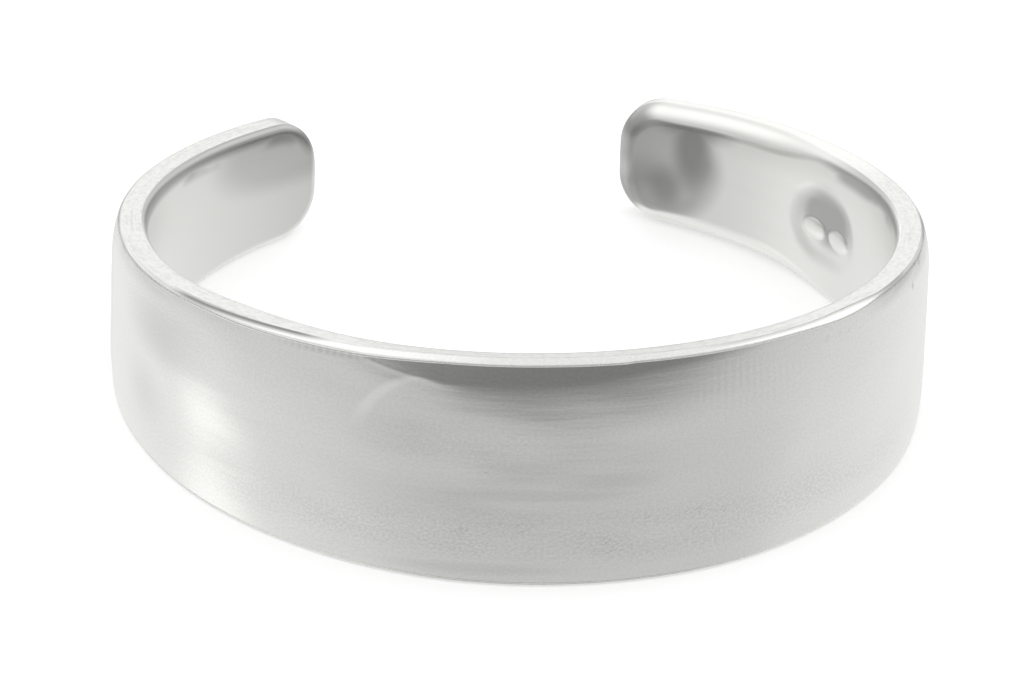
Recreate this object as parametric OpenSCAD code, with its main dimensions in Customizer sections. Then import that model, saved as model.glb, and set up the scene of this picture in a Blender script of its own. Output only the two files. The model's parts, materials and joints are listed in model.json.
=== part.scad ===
// Open toe ring: one tapered silver band, bent round into a split ring.
// It is modelled as it lies: on the long lower edge of the band, the wide
// front towards -Y and the gap between the two ends towards +Y. The two long
// edges are flat, so the band gets narrower evenly from front to back and the
// bore leans back by half the angle between them.

/* [Bore] */
// Diameter of the bore that the toe goes through
bore_d = 14.7; // [14:0.1:19]
// Angle of the gap between the two ends, seen from the bore's centre
gap_angle = 50; // [20:1:70]

/* [Band] */
// Width of the band at the front
front_w = 4.7; // [4:0.1:6]
// Width of the band at its two ends, before the corners are rounded
end_w = 2.5; // [2.2:0.1:3.5]
// Wall at the middle of the front
front_t = 0.56; // [0.5:0.02:0.9]
// Wall opposite the front, where the outer circle would close
back_t = 0.84; // [0.5:0.02:1.2]

/* [Edges] */
// Radius of the corners of the two ends
end_corner_r = 1; // [0.4:0.05:1]
// Depth of the polished bevel on the upper outer edge, at the front
bevel_depth = 0.09; // [0.04:0.01:0.12]
// Angle of that bevel to the upper edge
bevel_angle = 38; // [25:1:50]
// Angle from the front at which the bevel has run out
bevel_end = 85; // [60:1:100]

/* [Punched mark] */
// Angle from the front to the middle of the oval recess inside the band
mark_angle = 113; // [100:1:130]
// Length of the recess round the band
mark_l = 2.0; // [1.5:0.1:2.4]
// Width of the recess across the band
mark_w = 1.4; // [1:0.1:1.5]
// Depth of the recess
mark_depth = 0.08; // [0.04:0.01:0.12]
// Diameter of the two round pips that stand in the recess
pip_d = 0.5; // [0.3:0.05:0.6]
// Distance between the middles of the pips
pip_gap = 0.8; // [0.7:0.05:1]

/* [Hidden] */
silver = [0.83, 0.83, 0.84];
bore_r = bore_d / 2;
// the outer circle is moved back from the bore's axis, so the wall swells
outer_r = bore_r + (front_t + back_t) / 2;
outer_shift = (back_t - front_t) / 2;
// how far the band reaches in front of the bore's axis and behind it
front_y = outer_r - outer_shift;
end_angle = 180 - gap_angle / 2;
end_y = -bore_r * cos(end_angle);
// each long edge slopes by this angle to the middle of the band
lean = atan((front_w - end_w) / 2 / (front_y + end_y));
mid_half_w = front_w / 2 - front_y * tan(lean);
// the bevel's slope to the bore, less than the edge's, so that it runs out
bevel_lean = lean - atan(bevel_depth / (front_y - outer_r * cos(bevel_end)));
// reach of the whole ring in Y once it leans back, for its middle
foremost = front_y * cos(lean) + front_w / 2 * sin(lean);
end_outer_y = -(outer_r - outer_shift * cos(end_angle)) * cos(end_angle);
rearmost = end_outer_y * cos(lean) + (end_w / 2 - end_corner_r) * sin(lean);
// the end corners' arcs would rise this far above the long edges
corner_rise = 0.03;
over = 1;
fine = 120;

// Solid between the two flat long edges, in the bore's own axes
module between_edges() {
    reach = outer_r + over;
    front_h = mid_half_w + reach * tan(lean);
    back_h = mid_half_w - reach * tan(lean);
    rotate([90, 0, 90])
        linear_extrude(2 * reach, center = true)
            polygon([
                [-reach, -front_h], [reach, -back_h],
                [reach, back_h], [-reach, front_h]
            ]);
}

// Cone that leaves the bevel on the upper outer edge
module bevel_limit() {
    foot_w = front_w / 2 - bevel_depth;
    rise = outer_r * tan(bevel_angle);
    translate([0, -front_y, foot_w])
        rotate([-bevel_lean, 0, 0])
            translate([0, outer_r, 0]) {
                cylinder(h = rise, r1 = outer_r, r2 = 0, $fn = fine);
                translate([0, 0, -2 * front_w])
                    cylinder(h = 2 * front_w, r = outer_r + over, $fn = fine);
            }
}

// Wedge of the gap, from the bore's axis outwards to the back
module gap() {
    reach = 2 * outer_r;
    linear_extrude(2 * front_w, center = true)
        polygon([
            [0, 0],
            [reach * tan(gap_angle / 2), reach],
            [-reach * tan(gap_angle / 2), reach]
        ]);
}

// What the rounding takes off one upper corner of the right-hand end. The arc
// starts flush with the end and meets the long edge at a small angle.
module corner_waste() {
    r = end_corner_r;
    edge_w = mid_half_w - (end_y - r * sin(end_angle)) * tan(lean);
    arc_w = edge_w + corner_rise - r;
    translate([bore_r * sin(end_angle), end_y, 0])
        rotate([90, 0, end_angle - 180])
            linear_extrude(4 * back_t, center = true)
                difference() {
                    translate([-over, arc_w])
                        square([over + r, r + over]);
                    translate([r, arc_w])
                        circle(r = r, $fn = 48);
                }
}

// The oval recess with its two pips, cut outwards from the bore
module punched_mark() {
    rotate([0, 0, mark_angle - 90])
        intersection() {
            cylinder(h = front_w, r = bore_r + mark_depth, center = true, $fn = fine);
            rotate([90, 0, 90])
                linear_extrude(outer_r + over)
                    difference() {
                        union() {
                            square([mark_l - mark_w, mark_w], center = true);
                            for (side = [-1, 1])
                                translate([side * (mark_l - mark_w) / 2, 0])
                                    circle(d = mark_w, $fn = 48);
                        }
                        for (side = [-1, 1])
                            translate([side * pip_gap / 2, 0])
                                circle(d = pip_d, $fn = 32);
                    }
        }
}

// The band in the bore's own axes, its middle at the origin
module band_upright() {
    difference() {
        intersection() {
            translate([0, outer_shift, 0])
                cylinder(h = 2 * front_w, r = outer_r, center = true, $fn = fine);
            between_edges();
            bevel_limit();
        }
        cylinder(h = 3 * front_w, r = bore_r, center = true, $fn = fine);
        gap();
        for (side = [0, 1])
            for (end = [0, 1])
                mirror([side, 0, 0])
                    mirror([0, 0, end])
                        corner_waste();
        punched_mark();
    }
}

// The band as it lies: leaning back until its lower edge is on the ground
module band() {
    color(silver)
        translate([0, (foremost - rearmost) / 2, mid_half_w * cos(lean)])
            rotate([-lean, 0, 0])
                band_upright();
}

band();
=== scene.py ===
import json
import math

import bpy
from mathutils import Matrix, Vector, noise


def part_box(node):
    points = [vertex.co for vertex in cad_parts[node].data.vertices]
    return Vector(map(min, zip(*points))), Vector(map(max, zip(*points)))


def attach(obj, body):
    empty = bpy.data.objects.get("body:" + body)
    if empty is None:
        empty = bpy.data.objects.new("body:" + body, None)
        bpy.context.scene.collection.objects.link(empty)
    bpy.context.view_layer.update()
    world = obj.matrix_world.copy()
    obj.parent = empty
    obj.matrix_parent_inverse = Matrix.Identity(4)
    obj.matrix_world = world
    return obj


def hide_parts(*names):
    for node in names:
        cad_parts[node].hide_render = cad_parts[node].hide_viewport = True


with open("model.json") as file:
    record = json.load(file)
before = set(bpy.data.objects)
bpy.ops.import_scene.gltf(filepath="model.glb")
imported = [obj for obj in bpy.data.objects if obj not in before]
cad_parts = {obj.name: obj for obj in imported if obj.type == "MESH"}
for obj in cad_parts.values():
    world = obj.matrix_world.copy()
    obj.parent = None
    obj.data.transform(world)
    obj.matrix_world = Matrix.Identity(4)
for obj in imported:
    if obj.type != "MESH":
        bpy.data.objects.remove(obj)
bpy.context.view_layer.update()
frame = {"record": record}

bl_info = {
    "name": "Silver toe ring",
    "version": (1, 0, 0),
    "blender": (4, 5, 0),
    "location": "3D View > Sidebar > Toe ring",
    "description": "Builds an open silver toe ring over its solid and sets it on a pale table",
    "category": "Object",
}

MM = 0.001
MOUNTS = {mount["name"]: mount for mount in frame["record"]["mounts"]}
BORE_RADIUS = MOUNTS["toe_opening"]["dims"]["r_mm"] * MM
BORE_CENTRE = Vector(MOUNTS["toe_opening"]["pos_m"])
BORE_AXIS = Vector(MOUNTS["toe_opening"]["axis"]).normalized()
OUTER_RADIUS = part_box("band")[1].x
# the band's long edges are flat, and the bore leans back by half the angle between them
LEAN = math.atan2(BORE_AXIS.y, BORE_AXIS.z)
MIDDLE_HALF_WIDTH = BORE_CENTRE.z / math.cos(LEAN)

# how finely the mesh is divided
RUN_STEP = math.radians(0.75)
FINE_STEP = math.radians(0.3)
CORNER_STEPS = 14
ROWS = 60
ARC_STEPS = 4
RIM_STEPS = 4
# steps are fine this far round the recess, in lengths of it, and past the flat's left end
FINE_RECESS = 0.65
FINE_FACET = math.radians(25)

# the band's material slots
BUFFED, FILED, SATIN = range(3)
# rows of the outer face crowd towards its edges, and those of the inner one to its middle
ROW_CROWDING = {BUFFED: 0.5, SATIN: -0.4}

# stretches over which the band changes, in degrees from the front: on its right, on its left
# and on both sides alike
BEVEL_STEPS_BACK = (4.8, 6.5)
RIGHT_SHOULDER_WEARS = (25, 50)
UPPER_EDGE_RISES = (100, 145)
RIGHT_END_WEARS = (112, 128)
CREASE_SHARPENS = (8, 20)
BURR_GROWS = (14.3, 22.9)
LEFT_EDGE_WEARS = (18, 35)
LEFT_SHOULDER_WEARS = (18, 40)
CROWN_NARROWS = (30, 80)
INNER_ROUND_GROWS = (60, 125)
ROWS_EVEN_OUT = (120.3, 143.2)
# middle and reach of two local changes, in degrees to the right of the front
WIDER_BEVEL = (43, 4.95)
THICKER_BAND = (-52, 11)

# share of the bevel's depth that is missing past its step
BEVEL_STEP = 0.2
# least depth of the rim over an edge's rounding, times its radius
ROUNDING_ROOM = 1.1
# greatest radii that fit on the bevel's lower and upper border, times its depth
EDGE_FIT = 1.3
SHOULDER_FIT = 1.6
# how worn the right shoulder is, as a share of the left one
RIGHT_SHOULDER = 0.6
# how much rounder the right-hand end is worn inside
END_WEAR = 1.6
# the upper crown is full over this height and the lower one under it
CROWN_TURN = 0.4 * MM
# the inner roll is full over this height
ROLL_FULL = 0.6 * MM
# the flat reaches its full width this far from its left-hand end, and narrows from here on
FACET_RISE = math.radians(13)
FACET_FADE = math.radians(-5)
# softness of the flat's lower crease at the front and on the left
CREASE = (0.075 * MM, 0.015 * MM)
# the burr that the file left along that crease
BURR = 0.006 * MM
BURR_WIDTH = 0.035 * MM
# half the width of the recess's sloping wall
PUNCH_WALL = 0.2 * MM
# broad waves of the outer and the inner face: noise steps a radian and a millimetre, and row
OUTER_WAVES = (2.6, 0.625, 0.5)
INNER_WAVES = (2.3, 0.5, 7.5)
# the outer face's second waves are this much finer, and these and the inner face's lower
FINER = 2.3
LOWER = 0.4

# the hollow left of the front, in millimetres: its middle along the band and up, half its length
# and height, the slope of its border and how far in from there it begins to level out
HOLLOW_MIDDLE = (-2.9, 0.1)
HOLLOW_HALF = (1.8, 1.85)
HOLLOW_SLOPE = 0.1
HOLLOW_LEVELS = 0.8
# it fades in leftwards and upwards, between shares of its half length and height
HOLLOW_FADES = ((-0.3, 0.3), (0.0, 0.6))

# shallow swellings and dents of the outer face: angle in degrees and height of the middle,
# reach round the band and across it, and rise, in millimetres
SWELLINGS = (
    (-60, 0.35, 1.2, 0.5, 0.045),
    (-73, -0.55, 0.7, 0.5, -0.025),
    (-44, -0.9, 1.6, 0.5, 0.015),
    (48, 0.5, 1.5, 0.5, 0.02),
    (62, -0.6, 1.2, 0.6, -0.02),
)


def linear(colour):
    """An sRGB colour, written as hex, as linear red, green and blue."""
    shares = [int(colour[i:i + 2], 16) / 255 for i in (0, 2, 4)]
    return [c / 12.92 if c <= 0.04045 else ((c + 0.055) / 1.055) ** 2.4 for c in shares]


def add(tree, kind, inputs=None, **settings):
    """Adds a shader node with its settings; an input is a value or the socket that feeds it."""
    made = tree.nodes.new(kind)
    for name, value in settings.items():
        setattr(made, name, value)
    for name, value in (inputs or {}).items():
        if isinstance(value, bpy.types.NodeSocket):
            tree.links.new(value, made.inputs[name])
        else:
            made.inputs[name].default_value = value
    return made


def length_setting(name, description, millimetres):
    """A length that the sidebar shows."""
    return bpy.props.FloatProperty(
        name=name, description=description, default=millimetres * MM, unit="LENGTH", precision=6)


def angle_setting(name, description, degrees):
    """An angle that the sidebar shows."""
    return bpy.props.FloatProperty(
        name=name, description=description, default=math.radians(degrees), unit="ROTATION")


def colour_setting(name, description, colour):
    """A colour that the sidebar shows, written as hex."""
    return bpy.props.FloatVectorProperty(
        name=name, description=description, default=linear(colour), size=3, subtype="COLOR",
        min=0, max=1)


def blend(first, last, share):
    """The value a share of the way from a first one to a last one."""
    return first + (last - first) * share


def part_way(value, low, high):
    """How far a value has come from low to high, 0 before low and 1 past high."""
    return min(max((value - low) / (high - low), 0.0), 1.0)


def smooth(value, low, high):
    """The same with an even S between them."""
    share = part_way(value, low, high)
    return share * share * (3 - 2 * share)


def past(angle, stretch):
    """0 before a stretch of the band, given in degrees, 1 past it and an even S on it."""
    return smooth(math.degrees(angle), *stretch)


def bell(value, middle, reach):
    """1 at a middle and close to 0 from three reaches away on."""
    return math.exp(-((value - middle) / reach) ** 2 / 2)


class BandSizes(bpy.types.PropertyGroup):
    """What a jeweller would set on the band itself."""

    front_wall: length_setting("Front wall", "Thickness of the band at the middle of its front", 0.56)
    gap_angle: angle_setting("Gap", "Angle between the two ends, seen from the bore's middle", 50)
    corner: length_setting("End corners", "Radius of the rounded corners of the ends", 1.0)
    bevel_depth: length_setting("Bevel depth", "Depth of the polished bevel on the upper outer edge", 0.09)
    bevel_widening: length_setting(
        "Bevel widening", "How much deeper the bevel is again near its right end", 0.055)
    bevel_angle: angle_setting("Bevel angle", "Angle of that bevel to the upper edge", 38)
    bevel_start: angle_setting("Bevel start", "Angle from the front at which the bevel begins", -68)
    bevel_stop: angle_setting("Bevel stop", "Angle from the front at which the bevel has run out", 56)
    edge_round: length_setting("Edge rounding", "Radius that polishing left on the outer edges", 0.035)
    edge_round_left: length_setting(
        "Edge rounding, left", "The same radius under the bevel on the left", 0.1)
    inner_round: length_setting("Inner rounding", "Radius that eases the inner edges at the front", 0.07)
    inner_round_back: length_setting("Inner rounding, ends", "The same radius near the two ends", 0.16)
    lift: length_setting("Lift", "How far the upper edge rises at the right-hand end", 0.1)
    shoulder: length_setting(
        "Shoulder", "Radius that wear left on the upper outer edge at the sides", 0.16)
    thickening: length_setting(
        "Thickening", "How far the inside of the band swells left of the front", 0.155)
    inner_roll: length_setting("Inner roll", "How far the inner face rolls out at its upper edge", 0.05)
    inner_roll_width: length_setting("Inner roll width", "Width of the strip that rolls out", 0.9)
    crown: length_setting("Crown", "How far the outer face rolls in at its upper edge", 0.13)
    crown_low: length_setting("Lower crown", "How far it rolls in at its lower edge", 0.05)
    crown_width: length_setting("Crown width", "Width of the strip that rolls in, at the front", 1.55)
    crown_width_back: length_setting(
        "Crown width, back", "Width of that strip at the sides and the ends", 0.75)
    fullness: length_setting("Fullness", "How far the front bulges out between its edges", 0.1)
    facet_width: length_setting("Facet width", "Greatest width of the flat filed under the bevel", 0.42)
    facet_tilt: angle_setting("Facet tilt", "Angle of that flat to the outer face", 6)
    facet_start: angle_setting("Facet start", "Angle from the front at which the flat begins", -33)
    facet_stop: angle_setting("Facet stop", "Angle from the front at which the flat has run out", 42)
    buffing: length_setting("Buffing waves", "Height of the broad waves that hand buffing left", 0.02)


class PunchSizes(bpy.types.PropertyGroup):
    """The oval recess punched inside the band, with two round pips in it."""

    angle: angle_setting("Place", "Angle from the front of the band to the recess", 113)
    length: length_setting("Length", "Length of the recess round the band", 2.0)
    width: length_setting("Width", "Width of the recess across the band", 1.4)
    depth: length_setting("Depth", "Depth of the recess", 0.055)
    pip: length_setting("Pips", "Width of the pips across the band", 0.46)
    pip_length: length_setting("Pip length", "Length of the pips round the band", 0.78)
    pip_gap: length_setting("Pip spacing", "Distance between the middles of the pips", 0.84)
    pip_height: length_setting("Pip height", "Height of the pips over the middle of the recess", -0.16)


class SilverFinish(bpy.types.PropertyGroup):
    """Colours and gloss of the sterling silver."""

    polished: colour_setting("Polished", "Colour of the buffed outer face", "EDEDEA")
    filed: colour_setting("Filed", "Colour of the filed long edges", "F0F0ED")
    inside: colour_setting("Inside", "Colour of the satin inner face", "EBEBE8")
    # tarnish_and_shade: real tarnishing in pits and in the recess, and also painted shade in long bands on
    # the front, on the arms at the back, in a stripe along the shoulder and inside the right-hand end
    tarnish_and_shade: colour_setting("Tarnish", "Colour of the dull patches inside the ends", "909090")
    # grime_and_shade: real dirt on the dull edges, and also painted shade in the dark lines along the
    # shoulder over the bevel and along the inner upper edge
    grime_and_shade: colour_setting("Grime", "Colour of the dirt along the worn edges", "505050")
    rubbed: colour_setting("Rubbed", "Colour of silver that is rubbed bare", "FCFCFA")
    polished_roughness: bpy.props.FloatProperty(
        name="Polished roughness", description="Roughness of the buffed outer face",
        default=0.26, subtype="FACTOR", min=0, max=1)
    satin_roughness: bpy.props.FloatProperty(
        name="Satin roughness", description="Roughness of the edges and of the inner face",
        default=0.34, subtype="FACTOR", min=0, max=1)


# what hangs in the light tent, painted over each other in this order: name, azimuth and
# elevation of its middle, half its width and height in degrees, brightness, softness of its rim
TENT_PARTS = (
    ("roof", 0, 90, 400, 62, 0.95, 0.2),
    ("table underneath", 0, -90, 400, 50, 1.1, 0.4),
    ("ring's own shadow", 0, -90, 400, 20, 0.7, 0.6),
    ("near table", 8, -24, 58, 26, 0.68, 0.2),
    ("left table", -106, -33, 12, 6, 1.4, 0.8),
    ("table edge", 0, 0, 400, 8, 0.6, 0.9),
    ("far screen", 171, 12, 60, 11, 1.35, 0.4),
    ("far table edge", 171, -3, 60, 4, 0.35, 0.5),
    ("left lamp", -105, 55, 50, 24, 1.3, 0.4),
    ("right lamp", 112, 38, 30, 20, 1.5, 0.4),
    ("camera's opening", 2, 6, 54, 21, 0.2, 0.3),
)


class StageSetup(bpy.types.PropertyGroup):
    """Table, light tent and camera."""

    table: colour_setting("Table", "Colour of the pale table", "EDEDED")
    glow: bpy.props.FloatProperty(
        name="Table glow", description="Light that the lit table gives off by itself",
        default=0.35, min=0)
    near: bpy.props.FloatProperty(
        name="Tent, near", description="Brightness of the tent on the camera's side",
        default=0.64, min=0)
    far: bpy.props.FloatProperty(
        name="Tent, far", description="Brightness of the tent on the far side",
        default=1.02, min=0)
    azimuth: angle_setting("Camera azimuth", "Direction of the camera round the ring", -10.35)
    elevation: angle_setting("Camera elevation", "Height of the camera over the table, as an angle", 28.92)
    distance: length_setting("Camera distance", "Distance of the camera from the bore's middle", 150)
    roll: angle_setting("Camera roll", "Turn of the camera about its own line of sight", 2.5)
    aim_right: length_setting(
        "Aim, sideways", "How far right of the bore's middle the camera aims", -0.115)
    aim_up: length_setting("Aim, upwards", "How far above the bore's middle the camera aims", -0.8125)
    lens: bpy.props.FloatProperty(
        name="Lens", description="Focal length in millimetres on a 36 mm sensor",
        default=266.1, min=1)


def wave_place(angle, height, waves):
    """Place in the noise that a point of the band's waves is read from."""
    round_band, across, row = waves
    return Vector((angle * round_band, height / MM * across, row))


class BandShape:
    """The band in the bore's own axes: angles from its front, heights from its middle."""

    def __init__(self, sizes, punch):
        self.sizes = sizes
        self.punch = punch
        self.shift = OUTER_RADIUS - BORE_RADIUS - sizes.front_wall
        self.slope = math.tan(LEAN)
        self.end = math.pi - sizes.gap_angle / 2
        # the corners' arcs touch the long edges, which aren't square to the ends
        self.turn = math.atan(self.slope * math.sin(self.end))
        self.touch = sizes.corner * (1 - math.sin(self.turn))

    def outer_radius(self, angle):
        """Distance from the bore's axis to the outer circle, which sits a little behind it."""
        across = self.shift * math.cos(angle)
        return math.sqrt(across ** 2 + OUTER_RADIUS ** 2 - self.shift ** 2) - across

    def edge_height(self, angle, radius, upper=1):
        """Height of the flat upper edge over the middle of the band, or depth of the lower one."""
        height = MIDDLE_HALF_WIDTH + radius * math.cos(angle) * self.slope
        if upper > 0:
            height += self.sizes.lift * past(angle, UPPER_EDGE_RISES)
        return height

    def touch_angle(self, radius):
        """Angle at which the long edges meet the rounded corners."""
        return self.end - math.asin(self.touch / radius)

    def arc_height(self, radius, side, upper):
        """Height of the middle of a corner's arc."""
        edge = self.edge_height(side * self.touch_angle(radius), radius, upper)
        return edge - self.sizes.corner * math.cos(self.turn)

    def outline(self, mark, radius):
        """Angle, height and outward direction of the band's outline at one mark on it."""
        part, side, value, upper = mark
        if part == "run":
            angle = value * self.touch_angle(radius)
            lean = self.slope * math.sin(angle)
            size = math.hypot(lean, 1)
            return angle, upper * self.edge_height(angle, radius, upper), lean / size, upper / size
        height = self.arc_height(radius, side, value if part == "end" else upper)
        if part == "end":
            return side * self.end, value * height, side, 0.0
        back = self.sizes.corner * (1 - math.cos(value))
        angle = side * (self.end - math.asin(back / radius))
        height += self.sizes.corner * math.sin(value)
        return angle, upper * height, side * math.cos(value), upper * math.sin(value)

    def inset(self, angle, height, radius):
        """Distance of a point on a face from the band's outline."""
        back = radius * math.sin(min(self.end - abs(angle), math.pi / 2))
        corner = self.sizes.corner
        over = abs(height) - self.arc_height(radius, math.copysign(1, angle), height)
        if back < corner and over > 0:
            return corner - math.hypot(corner - back, over)
        return min(back, self.edge_height(angle, radius, height) - abs(height))

    def bevel(self, angle, upper):
        """Depth of the polished bevel at one angle, with room for the edge's rounding."""
        least = ROUNDING_ROOM * self.sizes.edge_round
        end = self.sizes.bevel_stop if angle > 0 else self.sizes.bevel_start
        if upper <= 0 or abs(angle) > abs(end):
            return least
        # right of the front the bevel steps back a little, and near its end it is wider again
        step = 1 - BEVEL_STEP * past(angle, BEVEL_STEPS_BACK)
        depth = self.sizes.bevel_depth * (1 - (angle / end) ** 4) * step
        depth += self.sizes.bevel_widening * bell(math.degrees(angle), *WIDER_BEVEL)
        return max(depth, least)

    def crown(self, angle, height, inset):
        """How far the outer face has rolled in at a distance from its edge."""
        sizes = self.sizes
        side = past(abs(angle), CROWN_NARROWS)
        width = blend(sizes.crown_width, sizes.crown_width_back, side)
        top = smooth(height, -CROWN_TURN, CROWN_TURN)
        return blend(sizes.crown_low, sizes.crown, top) * part_way(inset, width, 0.0) ** 2

    def facet_reach(self, angle):
        """Width of the flat under the bevel, a crescent that is widest left of the front."""
        sizes = self.sizes
        rise = part_way(angle, sizes.facet_start, sizes.facet_start + FACET_RISE)
        fall = part_way(angle, sizes.facet_stop, FACET_FADE)
        return sizes.facet_width * rise ** 0.8 * fall ** 2

    def facet(self, angle, height, inset):
        """Depth that the file took off there, with the crease a little softened."""
        if height < 0:
            return 0.0
        reach = self.facet_reach(angle)
        over = reach - (inset - self.bevel(angle, 1))
        soft = blend(*CREASE, past(-angle, CREASE_SHARPENS))
        cut = (over + math.hypot(over, soft)) / 2
        burr = BURR * bell(over, 0.0, BURR_WIDTH) * smooth(reach, 0.0, 0.1 * MM)
        return math.tan(self.sizes.facet_tilt) * cut - burr * past(-angle, BURR_GROWS)

    def hollow(self, angle, height):
        """Depth of the shallow hollow left of the front, with a curved border."""
        along = (angle * OUTER_RADIUS / MM - HOLLOW_MIDDLE[0]) / HOLLOW_HALF[0]
        upwards = (height / MM - HOLLOW_MIDDLE[1]) / HOLLOW_HALF[1]
        inside = max(1 - math.hypot(along, upwards), 0.0) * HOLLOW_HALF[0]
        depth = HOLLOW_SLOPE * inside * math.exp(-inside / HOLLOW_LEVELS) * MM
        return depth * smooth(-along, *HOLLOW_FADES[0]) * smooth(upwards, *HOLLOW_FADES[1])

    def outer_relief(self, angle, height):
        """Fullness of the front, and the broad waves and swellings that buffing by hand left."""
        front = 0.5 + 0.5 * math.cos(angle)
        place = wave_place(angle, height, OUTER_WAVES)
        waves = noise.noise(place) + LOWER * noise.noise(FINER * place)
        relief = self.sizes.fullness * front ** 2 + self.sizes.buffing * waves
        for degrees, middle, reach, height_reach, rise in SWELLINGS:
            along = (angle - math.radians(degrees)) * OUTER_RADIUS / MM
            relief += rise * MM * bell(along, 0.0, reach) * bell(height / MM, middle, height_reach)
        return relief - self.hollow(angle, height)

    def punched(self, angle, height):
        """Depth of the oval recess inside the band, less the height of its pips."""
        punch = self.punch
        along = abs(angle - punch.angle) * BORE_RADIUS
        straight = (punch.length - punch.width) / 2
        out = math.hypot(max(along - straight, 0.0), height) - punch.width / 2
        across = 2 * (height - punch.pip_height) / punch.pip
        beside = 2 * (along - punch.pip_gap / 2) / punch.pip_length
        dome = max(0.0, 1 - across ** 2 - beside ** 2) ** 0.6
        return punch.depth * smooth(out, PUNCH_WALL, -PUNCH_WALL) * (1 - dome)

    def inner_relief(self, angle, height, inset):
        """The punched recess, the rolled upper edge, a thickening and slight waves."""
        sizes = self.sizes
        near = part_way(inset, sizes.inner_roll_width, 0.0)
        relief = self.punched(angle, height)
        relief += sizes.inner_roll * near ** 2 * smooth(height, 0.0, ROLL_FULL)
        relief -= sizes.thickening * bell(math.degrees(angle), *THICKER_BAND)
        place = wave_place(angle, height, INNER_WAVES)
        return relief + LOWER * sizes.buffing * noise.noise(place)

    def place(self, angle, height, depth, inset):
        """Position in metres of a point at a depth under the outer face."""
        outer = self.outer_radius(angle)
        share = depth / (outer - BORE_RADIUS)
        outside = self.outer_relief(angle, height) - self.crown(angle, height, inset)
        outside -= self.facet(angle, height, inset)
        radius = outer - depth + outside * (1 - share)
        radius += self.inner_relief(angle, height, inset) * share
        flat = Vector((radius * math.sin(angle), -radius * math.cos(angle), height))
        return BORE_CENTRE + Matrix.Rotation(-LEAN, 3, "X") @ flat


def column_marks(shape):
    """Marks along the upper outline from the left-hand end to the right-hand one."""
    arc_end = math.pi / 2 - shape.turn
    arc = [arc_end * i / CORNER_STEPS for i in range(CORNER_STEPS)]
    marks = [("arc", -1, value, 1) for value in arc]
    touch = shape.touch_angle(BORE_RADIUS)
    punched = FINE_RECESS * shape.punch.length / BORE_RADIUS
    angle = -touch
    while angle < touch:
        marks.append(("run", 0, angle / touch, 1))
        near_punch = abs(angle - shape.punch.angle) < punched
        near_facet = 0 < angle - shape.sizes.facet_start < FINE_FACET
        angle += FINE_STEP if near_punch or near_facet else RUN_STEP
    marks.append(("run", 0, 1.0, 1))
    return marks + [("arc", 1, value, 1) for value in reversed(arc)]


def lowered(mark):
    """The mark on the lower outline under one on the upper outline."""
    part, side, value, upper = mark
    return part, side, value, -upper


def rounded(points, radii, steps):
    """A bent line with an arc of its own radius at each corner, from its first arc to its last."""
    path = []
    for before, corner, after, radius in zip(points, points[1:], points[2:], radii):
        to_before = (before - corner).normalized()
        to_after = (after - corner).normalized()
        half = to_before.angle(to_after) / 2
        centre = corner + (to_before + to_after).normalized() * radius / math.sin(half)
        first = corner + to_before * radius / math.tan(half) - centre
        last = corner + to_after * radius / math.tan(half) - centre
        sweep = math.pi - 2 * half
        for i in range(steps + 1):
            weight = sweep * i / steps
            spoke = first * math.sin(sweep - weight) + last * math.sin(weight)
            path.append(centre + spoke / math.sin(sweep))
    return path


def rim_section(shape, mark):
    """Depths and insets across the rim at a mark, from the outer face to the inner one."""
    sizes = shape.sizes
    angle, height, _, up = shape.outline(mark, BORE_RADIUS)
    wall = shape.outer_radius(angle) - BORE_RADIUS
    drop = shape.bevel(angle, up)
    back = past(abs(angle), INNER_ROUND_GROWS)
    inner = blend(sizes.inner_round, sizes.inner_round_back, back)
    # the right-hand end is worn rounder inside
    inner *= 1 + END_WEAR * past(angle, RIGHT_END_WEARS)
    # the bevel's borders are crisp at the front and worn round towards the sides
    worn = max(past(-angle, LEFT_SHOULDER_WEARS),
               RIGHT_SHOULDER * past(angle, RIGHT_SHOULDER_WEARS)) * max(up, 0.0)
    shoulder = min(blend(sizes.edge_round, sizes.shoulder, worn), SHOULDER_FIT * drop)
    worn = past(-angle, LEFT_EDGE_WEARS) * max(up, 0.0)
    edge = min(blend(sizes.edge_round, sizes.edge_round_left, worn), EDGE_FIT * drop)
    bevel = drop / math.tan(sizes.bevel_angle)
    corners = [Vector(p) for p in ((0, 1), (0, drop), (bevel, 0), (wall, 0), (wall, 1))]
    path = rounded(corners, (edge, shoulder, inner), ARC_STEPS)
    before, after = path[:2 * ARC_STEPS + 2], path[2 * ARC_STEPS + 2:]
    flat = [before[-1].lerp(after[0], i / RIM_STEPS) for i in range(1, RIM_STEPS)]
    return before + flat + after


def rim_point(shape, mark, depth, inset):
    """Angle and height of a point of the rim, moved in from the outline by its inset."""
    angle = shape.outline(mark, BORE_RADIUS)[0]
    radius = shape.outer_radius(angle) - depth
    angle, height, along, up = shape.outline(mark, radius)
    return angle - along * inset / radius, height - up * inset


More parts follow.
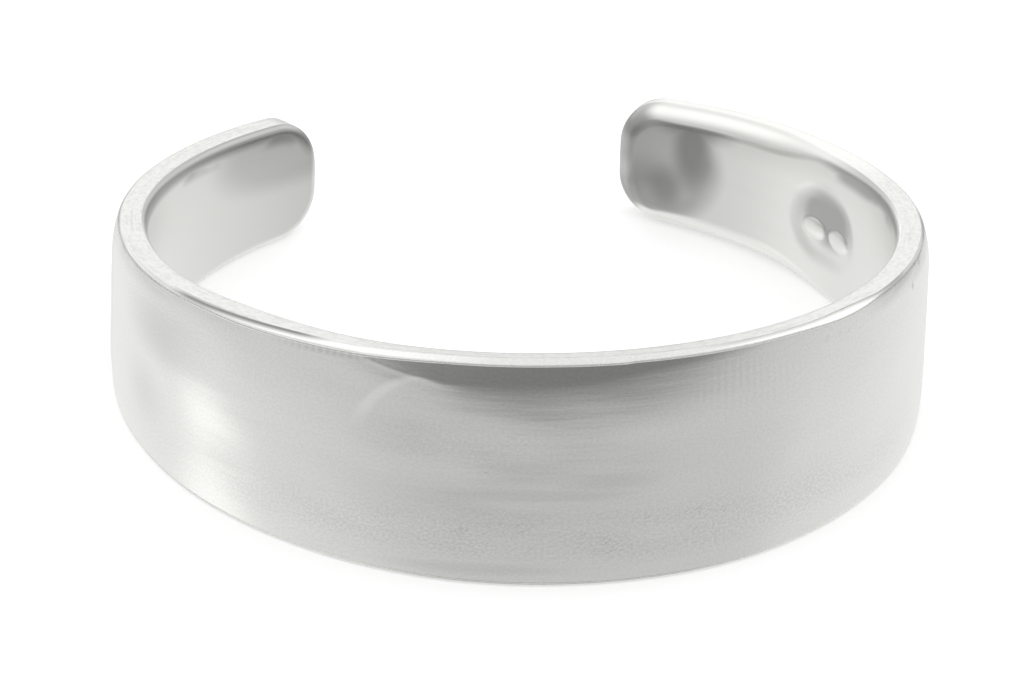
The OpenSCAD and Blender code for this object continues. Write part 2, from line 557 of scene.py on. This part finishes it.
class BandMesh:
    """Gathers the band's points and faces."""

    def __init__(self, shape):
        self.shape = shape
        self.points = []
        self.coords = []
        self.insets = []
        self.faces = []
        self.kinds = []

    def point(self, angle, height, depth, inset, shift=(0.0, 0.0)):
        """Adds a point and its place on the unrolled strip, in millimetres."""
        self.points.append(self.shape.place(angle, height, depth, inset))
        along = angle * OUTER_RADIUS + shift[0] * depth
        self.coords.append((along / MM, (height + shift[1] * depth) / MM, depth / MM))
        # from half a millimetre over the middle down, the upper edge counts as farther away
        self.insets.append((inset + 2 * max(0.5 * MM - height, 0.0)) / MM)
        return len(self.points) - 1

    def face(self, corners, kind):
        """Adds a face of four points with its material slot."""
        self.faces.append(corners)
        self.kinds.append(kind)

    def side(self, marks, depth_of, inset_of, kind):
        """One face of the band: a grid of columns from the lower edge to the upper one."""
        columns = []
        for mark in marks:
            depth, inset = depth_of(mark), inset_of(mark)
            high = rim_point(self.shape, mark, depth, inset)
            low = rim_point(self.shape, lowered(mark), depth, inset_of(lowered(mark)))
            crowding = ROW_CROWDING[kind] * (1 - past(abs(high[0]), ROWS_EVEN_OUT))
            column = []
            for row in range(ROWS + 1):
                share = row / ROWS
                share -= crowding * math.sin(math.tau * share) / math.tau
                angle, height = (blend(*pair, share) for pair in zip(low, high))
                radius = self.shape.outer_radius(angle) - depth
                inset = self.shape.inset(angle, height, radius)
                column.append(self.point(angle, height, depth, inset))
            columns.append(column)
        for left, right in zip(columns, columns[1:]):
            for row in range(ROWS):
                self.face((left[row], right[row], right[row + 1], left[row + 1]), kind)
        return columns


def loop_of(columns):
    """The points round the border of a face, upper edge first."""
    upper = [column[-1] for column in columns]
    lower = [column[0] for column in columns]
    return upper + columns[-1][-2:0:-1] + lower[::-1] + columns[0][1:-1]


def loop_marks(marks):
    """The marks round the outline, in the order of loop_of."""
    ends = [1 - 2 * row / ROWS for row in range(1, ROWS)]
    right = [("end", 1, value, 0) for value in ends]
    left = [("end", -1, -value, 0) for value in ends]
    return marks + right + [lowered(mark) for mark in reversed(marks)] + left


def build_band(shape):
    """The whole band: outer face, inner face and the rim between them."""
    band = BandMesh(shape)
    marks = column_marks(shape)
    outer = band.side(
        marks, lambda mark: 0.0, lambda mark: rim_section(shape, mark)[0].y, BUFFED)
    inner = band.side(marks, lambda mark: rim_section(shape, mark)[-1].x,
                      lambda mark: rim_section(shape, mark)[-1].y, SATIN)
    rings = []
    first, last = loop_of(outer), loop_of(inner)
    for index, mark in enumerate(loop_marks(marks)):
        section = rim_section(shape, mark)
        _, _, along, up = shape.outline(mark, BORE_RADIUS)
        ring = [first[index]]
        for spot in section[1:-1]:
            angle, height = rim_point(shape, mark, spot.x, spot.y)
            ring.append(band.point(angle, height, spot.x, spot.y, (along, up)))
        rings.append(ring + [last[index]])
    # across the rim: the bevel and its two roundings, the filed edge and the inner rounding
    kinds = [BUFFED] * (2 * ARC_STEPS + 1) + [FILED] * RIM_STEPS + [SATIN] * ARC_STEPS
    for ring, following in zip(rings, rings[1:] + rings[:1]):
        for step, kind in enumerate(kinds):
            band.face((ring[step], ring[step + 1], following[step + 1], following[step]), kind)
    return band


# ovals on the band unrolled flat, in millimetres: how far to the right of the front and above the
# middle they lie, half their length and height, the softness of their border, and their strength
PLACES = {
    "fine grain": ((0, -1.3, 7, 0.5, 0.5, 1), (-2.4, 0.6, 1.6, 0.4, 0.5, 0.35)),
    # painted shade: three long darker bands across the front
    "shaded bands": ((-2.1, -2, 1.4, 0.12, 0.6, 1), (-0.9, -0.41, 1.6, 0.12, 0.6, 1),
                (0.4, -0.18, 0.9, 0.15, 0.7, 1)),
    "chatter": ((3.3, 1.35, 1.1, 0.5, 0.5, 1),),
    "dotted line": ((-5.2, 1.6, 0.9, 1, 0.8, 1),),
    "dull edges": ((9.6, 1.8, 2.6, 1, 0.3, 1), (-11.7, 1.6, 2.5, 1, 0.3, 0.5)),
    "spots": ((8.4, 1.8, 2.6, 1.2, 0.5, 1),),
    "shaded shoulders": ((-7.4, 2, 1.9, 1.2, 0.25, 1), (5.6, 2, 3.2, 1.2, 0.25, 0.6)),
    "shaded left shoulder": ((-7.4, 2, 1.9, 1.2, 0.25, 1),),
    "smudges": ((-9.7, 1, 1.1, 0.5, 0.9, 1), (-10.4, -0.5, 0.6, 0.5, 0.9, 0.5)),
    "hollow's border": ((*HOLLOW_MIDDLE, 1.86, 1.91, 0.03, 1),),
    "border shown": ((-3.9, 1.4, 1, 0.65, 0.5, 1),),
    "inside border": ((-2.8, 0.16, 1.7, 1.75, 0.05, 1),),
    "shaded arms behind": ((18.2, 0, 4.8, 4, 0.2, 1), (-18.2, 0, 4.8, 4, 0.2, 1)),
    "rubbed edge": ((19, 1, 4.5, 3, 0.3, 0.85),),
    "cut end": ((22.2, -0.4, 0.8, 1.4, 0.2, 1),),
    "front edge": ((-0.4, 2.2, 4.2, 3, 0.5, 1),),
    "shaded grey line": ((-1.2, 2.2, 3.8, 1.5, 0.3, 1),),
    "shaded end": ((22.2, 0.2, 2.9, 1.7, 0.12, 1),),
    "blot": ((19.95, 0.65, 0.4, 0.75, 0.6, 0.8), (19.9, 1.2, 0.9, 0.35, 0.6, 0.8)),
    "lower blot": ((20.6, -0.35, 0.35, 0.4, 0.7, 0.6),),
    "left end": ((-20.9, 0.8, 2.1, 0.8, 0.35, 0.35),),
    "shaded edges": ((13.4, 1.5, 2.6, 1, 0.3, 1), (-17.5, 1.5, 6, 1.2, 0.2, 1)),
    "inside front": ((0, 0, 8.5, 4, 0.3, 1),),
}
# radians that a wave texture turns by over one unit
WAVE_TURN = 20
# sockets of the mix node for numbers and for colours: both inputs and the result
MIXED_NUMBERS = (2, 3, 0)
MIXED_COLOURS = (6, 7, 2)


def strip_place(tree, scale, turn=0.0):
    """Place on the band unrolled flat, in millimetres, turned and then scaled."""
    strip = add(tree, "ShaderNodeAttribute", attribute_name="strip_mm").outputs["Vector"]
    turned = add(tree, "ShaderNodeMapping", {"Vector": strip, "Rotation": (0, 0, turn)})
    return add(tree, "ShaderNodeMapping", {
        "Vector": turned.outputs[0], "Scale": scale}).outputs[0]


def between(tree, value, none, full, ends=(0.0, 1.0), course="SMOOTHSTEP"):
    """The first of two ends where a value is at none, and the last where it is at full."""
    return add(tree, "ShaderNodeMapRange", {
        "Value": value, "From Min": none, "From Max": full, "To Min": ends[0], "To Max": ends[1]},
        interpolation_type=course).outputs[0]


def times(tree, *factors):
    """The product of values or sockets."""
    product = factors[0]
    for factor in factors[1:]:
        product = add(tree, "ShaderNodeMath", {0: product, 1: factor},
                      operation="MULTIPLY").outputs[0]
    return product


def most(tree, first, *others):
    """The greatest of some values or sockets."""
    for other in others:
        first = add(tree, "ShaderNodeMath", {0: first, 1: other}, operation="MAXIMUM").outputs[0]
    return first


def rest(tree, share):
    """What a share leaves of 1."""
    return add(tree, "ShaderNodeMath", {0: 1.0, 1: share}, operation="SUBTRACT").outputs[0]


def oval(tree, place, width, height, soft):
    """1 inside an oval round the origin, given by its half sizes, and 0 outside, softly."""
    scaled = add(tree, "ShaderNodeVectorMath", {
        0: place, 1: (1 / width, 1 / height, 0)}, operation="MULTIPLY").outputs[0]
    away = add(tree, "ShaderNodeVectorMath", {0: scaled}, operation="LENGTH").outputs["Value"]
    return between(tree, away, 1 + soft, 1 - soft)


def patch(tree, along, up, width, height, soft):
    """1 inside an oval patch of the band and 0 outside it, in millimetres."""
    strip = add(tree, "ShaderNodeAttribute", attribute_name="strip_mm").outputs["Vector"]
    centred = add(tree, "ShaderNodeVectorMath", {
        0: strip, 1: (along, up, 0)}, operation="SUBTRACT").outputs[0]
    return oval(tree, centred, width, height, soft)


def at(tree, name):
    """How strongly each point of the band belongs to a named place."""
    return most(tree, *(times(tree, patch(tree, *spot), share) for *spot, share in PLACES[name]))


def near_edge(tree, width, start=0.0):
    """1 at the band's upper edge, or to a start, and 0 past a width from there, in millimetres."""
    edge = add(tree, "ShaderNodeAttribute", attribute_name="edge_mm").outputs["Fac"]
    return between(tree, edge, start + width, start)


def speckle(tree, spacing, size, share):
    """Small round spots, 1 in their middle, in a share of cells of one spacing, in millimetres."""
    place = strip_place(tree, (1 / spacing, 1 / spacing, 1 / spacing))
    cells = add(tree, "ShaderNodeTexVoronoi", {"Vector": place, "Scale": 1.0})
    spot = between(tree, cells.outputs["Distance"], size / spacing, 0.0)
    drawn = add(tree, "ShaderNodeSeparateColor", {"Color": cells.outputs["Color"]}).outputs[0]
    kept = add(tree, "ShaderNodeMath", {0: drawn, 1: share}, operation="LESS_THAN").outputs[0]
    return times(tree, spot, kept)


def grain(tree, scale, turn=0.0, detail=3.0):
    """Noise between 0 and 1 whose grains are 1/scale millimetres along and across the band."""
    place = strip_place(tree, scale, turn)
    return add(tree, "ShaderNodeTexNoise", {
        "Vector": place, "Scale": 1.0, "Detail": detail}).outputs["Fac"]


def chatter_waves(tree, spacing):
    """Ripples across the band where a file chattered, in millimetres."""
    return add(tree, "ShaderNodeTexWave", {
        "Vector": strip_place(tree, (1.0, 0.1, 0.0)), "Scale": math.tau / WAVE_TURN / spacing,
        "Distortion": 1.6, "Detail": 2.0, "Detail Scale": 1.5}, wave_profile="SIN").outputs["Fac"]


def relieve(tree, shader, layers):
    """Stacks bump layers on the shader, each a height from 0 to 1 and its depth in metres."""
    normal = None
    for height, depth in layers:
        inputs = {"Height": height, "Distance": depth, "Strength": 1.0}
        if normal is not None:
            inputs["Normal"] = normal
        normal = add(tree, "ShaderNodeBump", inputs).outputs["Normal"]
    tree.links.new(normal, shader.inputs["Normal"])


def tint(tree, shader, colour, layers):
    """Lays tints over the metal's colour, each a colour and the factors of its share."""
    result = (*colour, 1.0)
    under, over, mixed = MIXED_COLOURS
    for tone, *factors in layers:
        result = add(tree, "ShaderNodeMix", {
            0: times(tree, *factors), under: result, over: (*tone, 1.0)},
            data_type="RGBA").outputs[mixed]
    tree.links.new(result, shader.inputs["Base Color"])


def silver(name, roughness):
    """A metal with no pattern yet: the material, its tree and its shader."""
    material = bpy.data.materials.new(name)
    material.use_nodes = True
    shader = material.node_tree.nodes["Principled BSDF"]
    shader.inputs["Metallic"].default_value = 1.0
    shader.inputs["Roughness"].default_value = roughness
    return material, material.node_tree, shader


def buffed_silver(finish):
    """Sterling silver, cast and buffed round the band: soft streaks, grit marks and a few pits."""
    material, tree, shader = silver("buffed_sterling_silver", finish.polished_roughness)
    # buffing marks run round the band, some millimetres long and a quarter of one apart
    streaks = grain(tree, (0.3, 3.2, 1.0), detail=1.5)
    # hairlines are finer than a pixel and are drawn 0.06 mm apart
    hairlines = grain(tree, (1.2, 16.0, 1.0))
    # a fine grain, drawn 0.03 to 0.06 mm wide, is strongest in a belt under the middle
    frost = between(tree, grain(tree, (16.0, 20.0, 16.0), detail=1.5), 0.3, 0.7)
    patchy = grain(tree, (0.5, 1.3, 1.0), detail=1.0)
    belt = times(tree, at(tree, "fine grain"),
                 between(tree, patchy, 0.35, 0.65, (0.35, 1.0), "LINEAR"))
    # handling nicks lie in the same patches, aslant, a third of a millimetre long
    nicks = times(tree, belt, between(
        tree, grain(tree, (3.2, 20.0, 1.0), math.radians(-32), 1.0), 0.62, 0.72))
    # a file chattered across the band under the flat, every 0.16 mm, and dotted its left end
    ripples = chatter_waves(tree, 0.16)
    chatter = times(tree, ripples, at(tree, "chatter"))
    line = times(tree, at(tree, "dotted line"), near_edge(tree, 0.1, 0.2),
                 rest(tree, near_edge(tree, 0.08, 0.1)))
    pits = speckle(tree, 1.1, 0.045, 0.3)
    # past both ends of the bevel the worn edge has stayed dull, in soft blotches
    cloudy = between(tree, grain(tree, (0.8, 4.0, 3.0), detail=1.5), 0.3, 0.65, (0.5, 1.0))
    edges = times(tree, at(tree, "dull edges"), cloudy)
    spots = times(tree, speckle(tree, 0.35, 0.12, 0.35), near_edge(tree, 0.3, 0.3))
    # the border of the hollow is rubbed bright, in a line that widens downwards
    border = times(tree, at(tree, "hollow's border"), at(tree, "border shown"),
                   rest(tree, at(tree, "inside border")))
    # the two arms at the back are darkened with painted shade, in streaks along the buffing, in place of
    # the shaded table they would mirror
    streaky = between(tree, grain(tree, (0.2, 2.6, 1.0)), 0.3, 0.7, (0.45, 1.0), "LINEAR")
    relieve(tree, shader, (
        (streaks, 0.0038 * MM),
        (hairlines, 0.0009 * MM),
        (nicks, -0.0015 * MM),
        (chatter, 0.0013 * MM),
        (pits, -0.004 * MM)))
    tarnish_and_shade, grime_and_shade, bright = finish.tarnish_and_shade, finish.grime_and_shade, finish.rubbed
    tint(tree, shader, finish.polished, (
        (tarnish_and_shade, pits, 0.35),
        (tarnish_and_shade, edges, near_edge(tree, 0.4, 0.05), 0.5),
        (grime_and_shade, edges, near_edge(tree, 0.08), 0.2),
        (tarnish_and_shade, spots, at(tree, "spots"), 0.6),
        (tarnish_and_shade, ripples, line, 0.2),
        (tarnish_and_shade, line, 0.12),
        (tarnish_and_shade, frost, 0.08),
        (tarnish_and_shade, frost, belt, 0.16),
        # painted shade in three long darker bands across the front
        (tarnish_and_shade, at(tree, "shaded bands"), 0.13),
        (tarnish_and_shade, nicks, 0.12),
        (tarnish_and_shade, streaky, at(tree, "shaded arms behind"), 0.4),
        # painted shade: a dark line along the shoulder over the bevel, most of it on the left
        (grime_and_shade, near_edge(tree, 0.07), at(tree, "shaded shoulders"), 0.75),
        (tarnish_and_shade, at(tree, "smudges"), 0.25),
        (bright, border, 0.6)))
    return material


def filed_silver(finish):
    """Sterling silver, filed flat on its edges and rubbed over: a bright, granular surface."""
    material, tree, shader = silver("filed_sterling_silver", finish.satin_roughness)
    # the filed grain is about 0.05 mm, with long scores round the band
    marks = grain(tree, (16.0, 16.0, 16.0))
    scores = grain(tree, (0.8, 0.8, 14.0))
    relieve(tree, shader, ((marks, 0.003 * MM), (scores, 0.0035 * MM)))
    # the right-hand end is rubbed clean, but its cut face has stayed dull
    worn = rest(tree, at(tree, "rubbed edge"))
    mottled = between(tree, grain(tree, (6.0, 6.0, 8.0)), 0.3, 0.75)
    lines = between(tree, scores, 0.5, 0.75)
    # the outer strip of the edge is darkened with painted shade on the left, and a thin grey stripe of
    # painted shade runs right of it
    depth = add(tree, "ShaderNodeSeparateXYZ", {
        "Vector": strip_place(tree, (1, 1, 1))}).outputs["Z"]
    tarnish_and_shade, grime_and_shade = finish.tarnish_and_shade, finish.grime_and_shade
    tint(tree, shader, finish.filed, (
        (tarnish_and_shade, worn, 0.16),
        (tarnish_and_shade, at(tree, "front edge"), 0.16),
        (tarnish_and_shade, mottled, worn, 0.22),
        (tarnish_and_shade, between(tree, depth, 0.2, 0.13), at(tree, "shaded grey line"), 0.35),
        (tarnish_and_shade, lines, worn, 0.22),
        (tarnish_and_shade, at(tree, "cut end"), 0.8),
        (grime_and_shade, between(tree, depth, 0.17, 0.1), at(tree, "shaded left shoulder"), 0.5)))
    return material


def satin_silver(finish, punch):
    """Sterling silver, tumbled to a satin inside, with grey tarnished patches where fingers don't rub;
    painted shade darkens the right-hand end and the upper edge.
    """
    material, tree, shader = silver("satin_sterling_silver", finish.satin_roughness)
    inside = grain(tree, (0.5, 3.0, 1.0), detail=1.5)
    frost = grain(tree, (14.0, 14.0, 14.0))
    relieve(tree, shader, ((inside, 0.004 * MM), (frost, 0.001 * MM)))
    # broad clouds of painted shade at the right-hand end
    clouds = between(tree, grain(tree, (0.7, 0.9, 1.0), detail=1.0), 0.3, 0.65, (0.5, 0.8))
    # painted shade along the upper edge, soft and in blotches, that dulls the lamps' glints on the inner
    # rounding
    blotches = between(tree, grain(tree, (0.6, 1.0, 1.0), detail=1.5), 0.45, 0.62)
    rim = most(tree, times(tree, near_edge(tree, 0.2, 0.15), 0.52),
               times(tree, blotches, near_edge(tree, 0.25, 0.25), 0.5))
    # the recess has kept its tarnish, and its pips are rubbed bright
    middle = punch.angle * OUTER_RADIUS / MM
    mark = times(tree, patch(tree, middle, 0.2, 0.95, 0.6, 0.35), 0.75)
    for side in (-1, 1):
        along = middle + side * punch.pip_gap / 2 / BORE_RADIUS * OUTER_RADIUS / MM
        pip = patch(tree, along, punch.pip_height / MM, punch.pip_length / 2 / MM,
                    punch.pip / 2 / MM, 0.15)
        mark = times(tree, mark, rest(tree, pip))
    # the inside of the front has clouded over
    haze = between(tree, grain(tree, (0.3, 0.9, 1.0)), 0.25, 0.75, (0.2, 0.5), "LINEAR")
    tarnish_and_shade, grime_and_shade = finish.tarnish_and_shade, finish.grime_and_shade
    tint(tree, shader, finish.inside, (
        # painted shade inside the right-hand end: broad clouds and darker blots
        (tarnish_and_shade, at(tree, "shaded end"), clouds),
        (tarnish_and_shade, at(tree, "blot")),
        (tarnish_and_shade, at(tree, "lower blot")),
        (tarnish_and_shade, at(tree, "left end")),
        (tarnish_and_shade, mark),
        (tarnish_and_shade, at(tree, "inside front"), haze),
        (grime_and_shade, at(tree, "shaded edges"), rim)))
    return material


class OBJECT_OT_toe_ring_band(bpy.types.Operator):
    """Build the silver band over its solid"""

    bl_idname = "object.toe_ring_band"
    bl_label = "Silver band"

    def execute(self, context):
        scene = context.scene
        shape = BandShape(scene.toe_ring_band, scene.toe_ring_punch)
        band = build_band(shape)
        mesh = bpy.data.meshes.new("silver_band")
        mesh.from_pydata(band.points, [], band.faces)
        strip = mesh.attributes.new("strip_mm", "FLOAT_VECTOR", "POINT")
        strip.data.foreach_set("vector", [value for place in band.coords for value in place])
        edge = mesh.attributes.new("edge_mm", "FLOAT", "POINT")
        edge.data.foreach_set("value", band.insets)
        finish = scene.toe_ring_silver
        satin = satin_silver(finish, scene.toe_ring_punch)
        for material in (buffed_silver(finish), filed_silver(finish), satin):
            mesh.materials.append(material)
        mesh.polygons.foreach_set("material_index", band.kinds)
        mesh.validate()
        mesh.shade_smooth()
        piece = bpy.data.objects.new("silver_band", mesh)
        scene.collection.objects.link(piece)
        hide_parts("band")
        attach(piece, "root")
        return {"FINISHED"}


class SCENE_OT_toe_ring_stage(bpy.types.Operator):
    """Lay the pale table, hang the light tent and set up the camera"""

    bl_idname = "scene.toe_ring_stage"
    bl_label = "Table, light and camera"

    def execute(self, context):
        setup = context.scene.toe_ring_stage
        self.lay_table(context, setup)
        self.hang_tent(context, setup)
        self.set_camera(context, setup)
        context.scene.view_settings.view_transform = "Standard"
        return {"FINISHED"}

    def lay_table(self, context, setup):
        """A plain pale table, wide enough to fill every view."""
        half = 1.5
        mesh = bpy.data.meshes.new("table")
        corners = [(-half, -half, 0), (half, -half, 0), (half, half, 0), (-half, half, 0)]
        mesh.from_pydata(corners, [], [(0, 1, 2, 3)])
        material = bpy.data.materials.new("matt_white_acrylic")
        material.use_nodes = True
        shader = material.node_tree.nodes["Principled BSDF"]
        shader.inputs["Base Color"].default_value = (*setup.table, 1.0)
        shader.inputs["Roughness"].default_value = 0.7
        shader.inputs["Specular IOR Level"].default_value = 0.0
        shader.inputs["Emission Color"].default_value = (1, 1, 1, 1)
        shader.inputs["Emission Strength"].default_value = setup.glow
        mesh.materials.append(material)
        table = bpy.data.objects.new("table", mesh)
        # the silver mirrors the tent's lower half in place of the evenly lit table
        table.visible_glossy = False
        context.scene.collection.objects.link(table)

    def hang_tent(self, context, setup):
        """A white tent all round, dimmer towards the camera, with soft lamps and dark seams."""
        world = bpy.data.worlds.new("light_tent")
        context.scene.world = world
        world.use_nodes = True
        tree = world.node_tree
        tree.nodes.clear()
        way = add(tree, "ShaderNodeTexCoord").outputs["Generated"]
        parts = add(tree, "ShaderNodeSeparateXYZ", {"Vector": way}).outputs
        up = add(tree, "ShaderNodeMath", {0: parts["Z"]}, operation="ARCSINE").outputs[0]
        ahead = times(tree, parts["Y"], -1.0)
        around = add(tree, "ShaderNodeMath", {0: parts["X"], 1: ahead},
                     operation="ARCTAN2").outputs[0]
        # the tent brightens from the side that the camera looks in by to the far side
        level = between(tree, ahead, 1.0, -1.0, (setup.near, setup.far), "LINEAR")
        under, over, mixed = MIXED_NUMBERS
        for name, azimuth, elevation, width, height, brightness, soft in TENT_PARTS:
            place = self.turned_to(tree, around, up, azimuth, elevation)
            cover = oval(tree, place, math.radians(width), math.radians(height), soft)
            level = add(tree, "ShaderNodeMix", {0: cover, under: level, over: brightness},
                        data_type="FLOAT", label=name).outputs[mixed]
        tent = add(tree, "ShaderNodeBackground", {"Color": (1, 1, 1, 1), "Strength": level})
        add(tree, "ShaderNodeOutputWorld", {"Surface": tent.outputs[0]})

    def turned_to(self, tree, around, up, azimuth, elevation):
        """Place on the tent from a point on it, given by its azimuth and elevation in degrees."""
        turned = add(tree, "ShaderNodeMath", {
            0: around, 1: math.radians(azimuth)}, operation="SUBTRACT").outputs[0]
        turned = add(tree, "ShaderNodeMath", {
            0: turned, 1: math.pi, 2: -math.pi}, operation="WRAP").outputs[0]
        raised = add(tree, "ShaderNodeMath", {
            0: up, 1: math.radians(elevation)}, operation="SUBTRACT").outputs[0]
        return add(tree, "ShaderNodeCombineXYZ", {"X": turned, "Y": raised}).outputs[0]

    def set_camera(self, context, setup):
        """A long lens at the photograph's angle, the ring a little over the picture's middle."""
        data = bpy.data.cameras.new("camera")
        data.sensor_width = 36.0
        data.lens = setup.lens
        data.clip_start = 0.01
        data.clip_end = 10.0
        camera = bpy.data.objects.new("camera", data)
        context.scene.collection.objects.link(camera)
        level = math.cos(setup.elevation)
        back = Vector((math.sin(setup.azimuth) * level, -math.cos(setup.azimuth) * level,
                       math.sin(setup.elevation)))
        right = Vector((math.cos(setup.azimuth), math.sin(setup.azimuth), 0.0))
        up = back.cross(right)
        axes = Matrix((right, up, back)).transposed() @ Matrix.Rotation(setup.roll, 3, "Z")
        aim = BORE_CENTRE + right * setup.aim_right + up * setup.aim_up
        camera.matrix_world = Matrix.Translation(aim + back * setup.distance) @ axes.to_4x4()
        context.scene.camera = camera


class VIEW3D_PT_toe_ring(bpy.types.Panel):
    """Lists what the toe ring's scene is made of"""

    bl_label = "Toe ring"
    bl_idname = "VIEW3D_PT_toe_ring"
    bl_space_type = "VIEW_3D"
    bl_region_type = "UI"
    bl_category = "Toe ring"

    def draw(self, context):
        layout = self.layout
        for group, operator in (
                ("toe_ring_band", OBJECT_OT_toe_ring_band.bl_idname),
                ("toe_ring_punch", None),
                ("toe_ring_silver", None),
                ("toe_ring_stage", SCENE_OT_toe_ring_stage.bl_idname)):
            settings = getattr(context.scene, group)
            for name in settings.bl_rna.properties.keys():
                if name not in ("rna_type", "name"):
                    layout.prop(settings, name)
            if operator:
                layout.operator(operator)


GROUPS = {
    "toe_ring_band": BandSizes,
    "toe_ring_punch": PunchSizes,
    "toe_ring_silver": SilverFinish,
    "toe_ring_stage": StageSetup,
}
CLASSES = (*GROUPS.values(), OBJECT_OT_toe_ring_band, SCENE_OT_toe_ring_stage, VIEW3D_PT_toe_ring)


def register():
    for made in CLASSES:
        bpy.utils.register_class(made)
    for name, group in GROUPS.items():
        setattr(bpy.types.Scene, name, bpy.props.PointerProperty(type=group))


def unregister():
    for name in GROUPS:
        delattr(bpy.types.Scene, name)
    for made in reversed(CLASSES):
        bpy.utils.unregister_class(made)


def main():
    """Builds the piece and the stage."""
    register()
    bpy.ops.object.toe_ring_band()
    bpy.ops.scene.toe_ring_stage()


if __name__ == "__main__":
    main()
